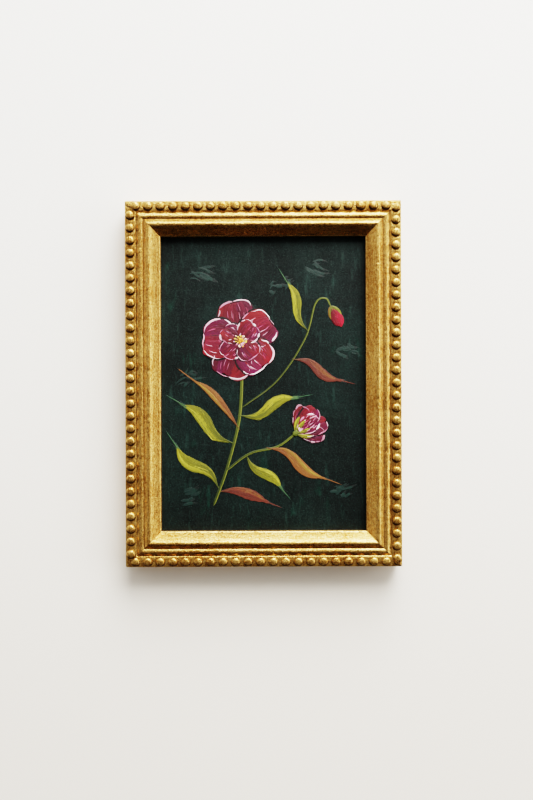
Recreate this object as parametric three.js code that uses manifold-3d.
// Small framed oil painting: a mitred, gilded wood frame round a painted canvas panel.
// The moulding has a row of pearls along its outer edge, then an astragal, a raised
// ridge and a coved slope down to the picture. Steel points hold the panel in its
// rabbet, and a sawtooth hanger is nailed to the back of the top rail.
//
// Millimetres, +Z up. The picture faces -Y and the wall is the plane y = 0. The origin
// is the middle of the hanger's raised flat, which lies against the wall.

import * as THREE from 'three';
import { mergeVertices } from 'three/addons/utils/BufferGeometryUtils.js';
import Module from 'manifold-3d';

const wasm = await Module();
wasm.setup();

// ---------------------------------------------------------------- driving dimensions

const SIGHT_WIDTH = 117; // picture area that shows inside the frame
const SIGHT_HEIGHT = 168;
const RAIL_WIDTH = 20; // outer edge to sight edge
const TOUCH_GAP = 0.3; // left between pieces that touch

// Moulding: heights above the frame's flat back
const RIDGE_HEIGHT = 18;
const GROUND_HEIGHT = 14; // flat that the pearls stand on
const LIP_TOP_HEIGHT = 12.4; // at the sight edge
const RABBET_DEPTH = 8; // underside of the lip that the panel lies against
const FILLET_RISE = 0.4; // fine fillet beside the pearls, above their ground
const GROOVE_DEPTH = 0.5; // either side of the astragal, below the ground
const ASTRAGAL_RISE = 2; // above its grooves

// Moulding: places across it, from the outer edge inwards
const GROUND_END = 5.8;
const FILLET_CREST = 6.15;
const ASTRAGAL_START = 6.65;
const ASTRAGAL_END = 10.05;
const RIDGE_FOOT = 10.4;
const RIDGE_SHOULDER = 12.4;
const COVE_START = 13.8;
const RABBET_WIDTH = 5.6;
const EDGE_ROUND = 0.5; // easing of the outer, ridge and sight edges

// Pearls
const PEARL_RADIUS = 2.5;
const PEARL_RISE = 2.4;
const PEARL_INSET = 3.05; // outer edge to pearl centres
const PEARL_PITCH = 7.12;
const PEARL_SIDES = 10;
const PEARL_RINGS = 3;

// Canvas panel, a stock 5 by 7 inch board
const PANEL_WIDTH = 127;
const PANEL_HEIGHT = 177.8;
const PANEL_THICKNESS = 3;
const TURNOVER_WIDTH = 14; // canvas glued down on the back, all round
const TURNOVER_THICKNESS = 0.4;

// Retaining points, driven into the rabbet wall behind the panel
const POINT_WIDTH = 6;
const POINT_THICKNESS = 0.6;
const POINT_TANG = 6; // length inside the wood
const POINT_REACH = 10; // length that shows

// Sawtooth hanger
const HANGER_LENGTH = 45;
const HANGER_HEIGHT = 9;
const HANGER_SHEET = 0.8;
const HANGER_STANDOFF = 3; // frame's back to the hanger's rear flat
const HANGER_FLAT_HALF = 12.5; // half the raised flat
const HANGER_SLOPE_RUN = 2;
const TOOTH_PITCH = 2.4;
const TOOTH_COUNT = 9;
const TOOTH_DEPTH = 1.4;
const NAIL_OFFSET = 18.5; // from the hanger's middle
const NAIL_RADIUS = 0.65;
const NAIL_HEAD_RADIUS = 1.6;
const NAIL_HEAD_THICKNESS = 0.6;
const NAIL_DEPTH = 8; // length inside the wood
const ROUND_SIDES = 12;

// ---------------------------------------------------------------- worked out from them

const FRAME_WIDTH = SIGHT_WIDTH + 2 * RAIL_WIDTH;
const FRAME_HEIGHT = SIGHT_HEIGHT + 2 * RAIL_WIDTH;
const RABBET_WALL = RAIL_WIDTH - RABBET_WIDTH; // outer edge to rabbet wall
const BACK_Y = -HANGER_STANDOFF;
const CENTRE_Z = RABBET_WALL / 2 - FRAME_HEIGHT / 2; // the hanger sits mid-way up the top rail's back
const MITRE_SETBACK = (TOUCH_GAP / 2) * Math.SQRT2;
const PANEL_BACK = RABBET_DEPTH - TOUCH_GAP - PANEL_THICKNESS;
const POINT_FRONT = PANEL_BACK - TOUCH_GAP;

const gilt = new THREE.MeshStandardMaterial({ color: 0xb98f3e, roughness: 0.4, metalness: 0.8 });
const canvas = new THREE.MeshStandardMaterial({ color: 0x1c302e, roughness: 0.7, metalness: 0 });
const steel = new THREE.MeshStandardMaterial({ color: 0x9a9a96, roughness: 0.45, metalness: 1 });

// ---------------------------------------------------------------- joining and cutting

// Turns a closed three.js geometry into a solid that can be joined and cut.
function toSolid(geometry) {
  const bare = geometry.clone();
  bare.deleteAttribute('normal');
  bare.deleteAttribute('uv');
  const merged = mergeVertices(bare, 1e-4);
  const corners = merged.index.array;
  const triangles = [];
  for (let i = 0; i < corners.length; i += 3) {
    const [a, b, c] = [corners[i], corners[i + 1], corners[i + 2]];
    if (a !== b && b !== c && c !== a) triangles.push(a, b, c);
  }
  return new wasm.Manifold(new wasm.Mesh({
    numProp: 3,
    vertProperties: new Float32Array(merged.attributes.position.array),
    triVerts: new Uint32Array(triangles),
  }));
}

function toGeometry(solid) {
  const mesh = solid.getMesh();
  const geometry = new THREE.BufferGeometry();
  geometry.setAttribute('position', new THREE.BufferAttribute(mesh.vertProperties, mesh.numProp));
  geometry.setIndex(new THREE.BufferAttribute(mesh.triVerts, 1));
  geometry.computeVertexNormals();
  return geometry;
}

// Extrudes an outline drawn in x and z from y = front back to y = front + depth.
function extrudeAlongY(shape, front, depth, curveSegments = 4) {
  const geometry = new THREE.ExtrudeGeometry(shape, { depth, bevelEnabled: false, curveSegments });
  geometry.rotateX(Math.PI / 2);
  geometry.translate(0, front + depth, 0);
  return geometry;
}

// ---------------------------------------------------------------- frame rails

// Section of the moulding: x runs inwards from the outer edge, y up from the flat back.
function mouldingSection() {
  const section = new THREE.Shape();
  const groove = GROUND_HEIGHT - GROOVE_DEPTH;
  const shoulder = RIDGE_HEIGHT - EDGE_ROUND;
  const astragalHalf = (ASTRAGAL_END - ASTRAGAL_START) / 2;
  const ridgeMiddle = (RIDGE_SHOULDER + COVE_START) / 2;
  section.moveTo(0, 0);
  section.lineTo(0, GROUND_HEIGHT - EDGE_ROUND);
  section.lineTo(EDGE_ROUND, GROUND_HEIGHT);
  section.lineTo(GROUND_END, GROUND_HEIGHT);
  section.lineTo(FILLET_CREST, GROUND_HEIGHT + FILLET_RISE);
  section.lineTo(ASTRAGAL_START, groove);
  section.absellipse(ASTRAGAL_START + astragalHalf, groove, astragalHalf, ASTRAGAL_RISE, Math.PI, 0, true);
  section.lineTo(RIDGE_FOOT, groove);
  section.lineTo(RIDGE_SHOULDER, shoulder);
  section.quadraticCurveTo(ridgeMiddle, RIDGE_HEIGHT + EDGE_ROUND, COVE_START, shoulder);
  section.quadraticCurveTo(COVE_START + 1.2, LIP_TOP_HEIGHT + 2, RAIL_WIDTH - EDGE_ROUND, LIP_TOP_HEIGHT);
  section.lineTo(RAIL_WIDTH, LIP_TOP_HEIGHT - EDGE_ROUND);
  section.lineTo(RAIL_WIDTH, RABBET_DEPTH);
  section.lineTo(RABBET_WALL, RABBET_DEPTH);
  section.lineTo(RABBET_WALL, 0);
  return section;
}

// A straight length of moulding, lying as the top rail does: x along it, the outer
// edge up at z = halfAcross, the back at y = 0 and the front towards -y.
function straightMoulding(length, halfAcross) {
  const run = new THREE.ExtrudeGeometry(mouldingSection(), {
    depth: length,
    bevelEnabled: false,
    curveSegments: 6,
  });
  const inwards = new THREE.Vector3(0, 0, -1);
  const forwards = new THREE.Vector3(0, -1, 0);
  const along = new THREE.Vector3(-1, 0, 0);
  run.applyMatrix4(new THREE.Matrix4().makeBasis(inwards, forwards, along));
  run.translate(length / 2, 0, halfAcross);
  return run;
}

// One pearl, a dome on the front of the moulding with its foot sunk in the wood.
function pearl(x, z) {
  const profile = [new THREE.Vector2(0, -1), new THREE.Vector2(PEARL_RADIUS, -1)];
  for (let ring = 0; ring < PEARL_RINGS; ring += 1) {
    const angle = (ring / PEARL_RINGS) * (Math.PI / 2);
    profile.push(new THREE.Vector2(PEARL_RADIUS * Math.cos(angle), PEARL_RISE * Math.sin(angle)));
  }
  profile.push(new THREE.Vector2(0, PEARL_RISE));
  const dome = new THREE.LatheGeometry(profile, PEARL_SIDES);
  dome.rotateX(Math.PI);
  dome.translate(x, -GROUND_HEIGHT, z);
  return dome;
}

// The space that a mitred rail may fill: a tall plate with its ends cut at 45 degrees.
function mitreEnvelope(length, halfAcross) {
  const spare = 1;
  const outerHalf = length / 2 - MITRE_SETBACK + spare;
  const innerHalf = outerHalf - RAIL_WIDTH - 2 * spare;
  const outline = new THREE.Shape();
  outline.moveTo(-outerHalf, halfAcross + spare);
  outline.lineTo(-innerHalf, halfAcross - RAIL_WIDTH - spare);
  outline.lineTo(innerHalf, halfAcross - RAIL_WIDTH - spare);
  outline.lineTo(outerHalf, halfAcross + spare);
  return extrudeAlongY(outline, -RIDGE_HEIGHT - 5, RIDGE_HEIGHT + 10);
}

// Slit in the rabbet wall for one retaining point's tang.
function pointSlit(x, halfAcross) {
  const depth = POINT_TANG + TOUCH_GAP;
  const slit = new THREE.BoxGeometry(
    POINT_WIDTH + 2 * TOUCH_GAP,
    POINT_THICKNESS + 2 * TOUCH_GAP,
    depth + 1,
  );
  const level = POINT_FRONT - POINT_THICKNESS / 2;
  slit.translate(x, -level, halfAcross - RABBET_WALL + (depth - 1) / 2);
  return slit;
}

// Hole in the back of the top rail for one of the hanger's nails.
function nailHole(x, halfAcross) {
  const depth = NAIL_DEPTH + TOUCH_GAP;
  const hole = new THREE.CylinderGeometry(
    NAIL_RADIUS + TOUCH_GAP,
    NAIL_RADIUS + TOUCH_GAP,
    depth + 1,
    ROUND_SIDES,
  );
  hole.translate(x, (1 - depth) / 2, halfAcross - RABBET_WALL / 2);
  return hole;
}

// length: outer length of the rail. halfAcross: frame's middle to the rail's outer edge.
// pearlShift: place of one pearl along the rail, from its middle.
function mitredRail(length, halfAcross, pearlShift, pointPlaces, nailPlaces = []) {
  let rail = toSolid(straightMoulding(length + 2, halfAcross));
  const lastPlace = length / 2 - PEARL_INSET + PEARL_RADIUS / 2;
  const first = Math.ceil((-lastPlace - pearlShift) / PEARL_PITCH);
  const last = Math.floor((lastPlace - pearlShift) / PEARL_PITCH);
  for (let i = first; i <= last; i += 1) {
    const x = pearlShift + i * PEARL_PITCH;
    rail = rail.add(toSolid(pearl(x, halfAcross - PEARL_INSET)));
  }
  rail = rail.intersect(toSolid(mitreEnvelope(length, halfAcross)));
  for (const x of pointPlaces) {
    rail = rail.subtract(toSolid(pointSlit(x, halfAcross)));
  }
  for (const x of nailPlaces) {
    rail = rail.subtract(toSolid(nailHole(x, halfAcross)));
  }
  return toGeometry(rail);
}

// ---------------------------------------------------------------- panel and its points

function rectangle(path, width, height) {
  path.moveTo(-width / 2, -height / 2);
  path.lineTo(width / 2, -height / 2);
  path.lineTo(width / 2, height / 2);
  path.lineTo(-width / 2, height / 2);
  return path;
}

// The board, with the canvas's edges turned over on to its back as a raised margin.
function canvasPanel() {
  const boardThickness = PANEL_THICKNESS - TURNOVER_THICKNESS;
  const front = -(PANEL_BACK + PANEL_THICKNESS);
  const board = rectangle(new THREE.Shape(), PANEL_WIDTH, PANEL_HEIGHT);
  const turnover = rectangle(new THREE.Shape(), PANEL_WIDTH, PANEL_HEIGHT);
  const bareWidth = PANEL_WIDTH - 2 * TURNOVER_WIDTH;
  const bareHeight = PANEL_HEIGHT - 2 * TURNOVER_WIDTH;
  turnover.holes.push(rectangle(new THREE.Path(), bareWidth, bareHeight));
  const boardSolid = toSolid(extrudeAlongY(board, front, boardThickness));
  return toGeometry(boardSolid.add(toSolid(extrudeAlongY(turnover, front, PANEL_THICKNESS))));
}

// A flat steel point, lying as those of the top rail do: sharp in the wood, round outside.
function retainingPoint(x, halfAcross) {
  const half = POINT_WIDTH / 2;
  const outline = new THREE.Shape();
  outline.moveTo(-half, -(POINT_REACH - half));
  outline.absarc(0, -(POINT_REACH - half), half, Math.PI, 2 * Math.PI, false);
  outline.lineTo(half, POINT_TANG - half);
  outline.lineTo(0, POINT_TANG);
  outline.lineTo(-half, POINT_TANG - half);
  const point = extrudeAlongY(outline, -POINT_FRONT, POINT_THICKNESS);
  point.translate(x, 0, halfAcross - RABBET_WALL);
  return point;
}

// ---------------------------------------------------------------- hanger

// The strip's bent shape from above: flat ends on the wood and a raised middle.
function hangerBend() {
  const end = HANGER_LENGTH / 2;
  const foot = BACK_Y + TOUCH_GAP;
  const slopeEnd = HANGER_FLAT_HALF + HANGER_SLOPE_RUN;
  const thin = HANGER_SHEET / 2; // moves the inner bends in, so the slope keeps its thickness
  const bend = new THREE.Shape();
  bend.moveTo(-end, foot);
  bend.lineTo(-slopeEnd + thin, foot);
  bend.lineTo(-HANGER_FLAT_HALF + thin, -HANGER_SHEET);
  bend.lineTo(HANGER_FLAT_HALF - thin, -HANGER_SHEET);
  bend.lineTo(slopeEnd - thin, foot);
  bend.lineTo(end, foot);
  bend.lineTo(end, foot + HANGER_SHEET);
  bend.lineTo(slopeEnd, foot + HANGER_SHEET);
  bend.lineTo(HANGER_FLAT_HALF, 0);
  bend.lineTo(-HANGER_FLAT_HALF, 0);
  bend.lineTo(-slopeEnd, foot + HANGER_SHEET);
  bend.lineTo(-end, foot + HANGER_SHEET);
  const strip = new THREE.ExtrudeGeometry(bend, { depth: HANGER_HEIGHT + 2, bevelEnabled: false });
  strip.translate(0, 0, -HANGER_HEIGHT / 2 - 1);
  return strip;
}

// The strip's outline from behind: round ends and a toothed lower edge.
function hangerOutline() {
  const end = HANGER_LENGTH / 2;
  const half = HANGER_HEIGHT / 2;
  const corner = 2.5;
  const outline = new THREE.Shape();
  outline.moveTo(-end + corner, half);
  outline.absarc(-end + corner, half - corner, corner, Math.PI / 2, Math.PI, false);
  outline.absarc(-end + corner, -half + corner, corner, Math.PI, 1.5 * Math.PI, false);
  const firstTooth = -(TOOTH_COUNT * TOOTH_PITCH) / 2;
  for (let i = 0; i < TOOTH_COUNT; i += 1) {
    const left = firstTooth + i * TOOTH_PITCH;
    outline.lineTo(left, -half);
    outline.lineTo(left + TOOTH_PITCH / 2, -half + TOOTH_DEPTH);
  }
  outline.lineTo(-firstTooth, -half);
  outline.absarc(end - corner, -half + corner, corner, -Math.PI / 2, 0, false);
  outline.absarc(end - corner, half - corner, corner, 0, Math.PI / 2, false);
  return extrudeAlongY(outline, BACK_Y - 1, HANGER_STANDOFF + 2);
}

function sawtoothHanger() {
  let hanger = toSolid(hangerBend()).intersect(toSolid(hangerOutline()));
  for (const x of [-NAIL_OFFSET, NAIL_OFFSET]) {
    const hole = new THREE.CylinderGeometry(
      NAIL_RADIUS + TOUCH_GAP,
      NAIL_RADIUS + TOUCH_GAP,
      2 * HANGER_STANDOFF,
      ROUND_SIDES,
    );
    hole.translate(x, BACK_Y, 0);
    hanger = hanger.subtract(toSolid(hole));
  }
  return toGeometry(hanger);
}

// A round-headed nail through the hanger into the wood, point towards -y.
function hangerNail(x) {
  const headUnder = BACK_Y + TOUCH_GAP + HANGER_SHEET + TOUCH_GAP;
  const tip = BACK_Y - NAIL_DEPTH;
  const profile = [
    new THREE.Vector2(0, tip),
    new THREE.Vector2(NAIL_RADIUS, tip + 2 * NAIL_RADIUS),
    new THREE.Vector2(NAIL_RADIUS, headUnder),
    new THREE.Vector2(NAIL_HEAD_RADIUS, headUnder),
    new THREE.Vector2(NAIL_HEAD_RADIUS, headUnder + NAIL_HEAD_THICKNESS / 2),
    new THREE.Vector2(NAIL_HEAD_RADIUS / 2, headUnder + NAIL_HEAD_THICKNESS),
    new THREE.Vector2(0, headUnder + NAIL_HEAD_THICKNESS),
  ];
  const nail = new THREE.LatheGeometry(profile, ROUND_SIDES);
  nail.translate(x, 0, 0);
  return nail;
}

// ---------------------------------------------------------------- assembly

const painting = new THREE.Group();

function addPiece(parent, name, geometry, material) {
  const mesh = new THREE.Mesh(geometry, material);
  mesh.name = name;
  parent.add(mesh);
  return mesh;
}

// Everything below is placed round the middle of the frame's flat back.
const frame = new THREE.Group();
frame.position.set(0, BACK_Y, CENTRE_Z);
painting.add(frame);

const across = { length: FRAME_WIDTH, half: FRAME_HEIGHT / 2 };
const upright = { length: FRAME_HEIGHT, half: FRAME_WIDTH / 2 };

// turn: quarter turns from the top rail, clockwise as seen from the front.
const sides = [
  { name: 'top', ...across, turn: 0, pearlShift: -1.3, points: [0] },
  { name: 'right', ...upright, turn: 1, pearlShift: -0.3, points: [-45, 45] },
  { name: 'bottom', ...across, turn: 2, pearlShift: 1.8, points: [0] },
  { name: 'left', ...upright, turn: 3, pearlShift: 3.2, points: [-45, 45] },
];

for (const side of sides) {
  const nails = side.name === 'top' ? [-NAIL_OFFSET, NAIL_OFFSET] : [];
  const rail = mitredRail(side.length, side.half, side.pearlShift, side.points, nails);
  const turned = new THREE.Group();
  turned.rotation.y = (side.turn * Math.PI) / 2;
  frame.add(turned);
  addPiece(turned, `${side.name}_rail`, rail, gilt);
  side.points.forEach((x, i) => {
    const label = side.points.length > 1 ? `${side.name}_${i + 1}` : side.name;
    addPiece(turned, `retaining_point_${label}`, retainingPoint(x, side.half), steel);
  });
}

addPiece(frame, 'canvas_panel', canvasPanel(), canvas);
addPiece(painting, 'sawtooth_hanger', sawtoothHanger(), steel);
addPiece(painting, 'hanger_nail_left', hangerNail(-NAIL_OFFSET), steel);
addPiece(painting, 'hanger_nail_right', hangerNail(NAIL_OFFSET), steel);

export default painting;
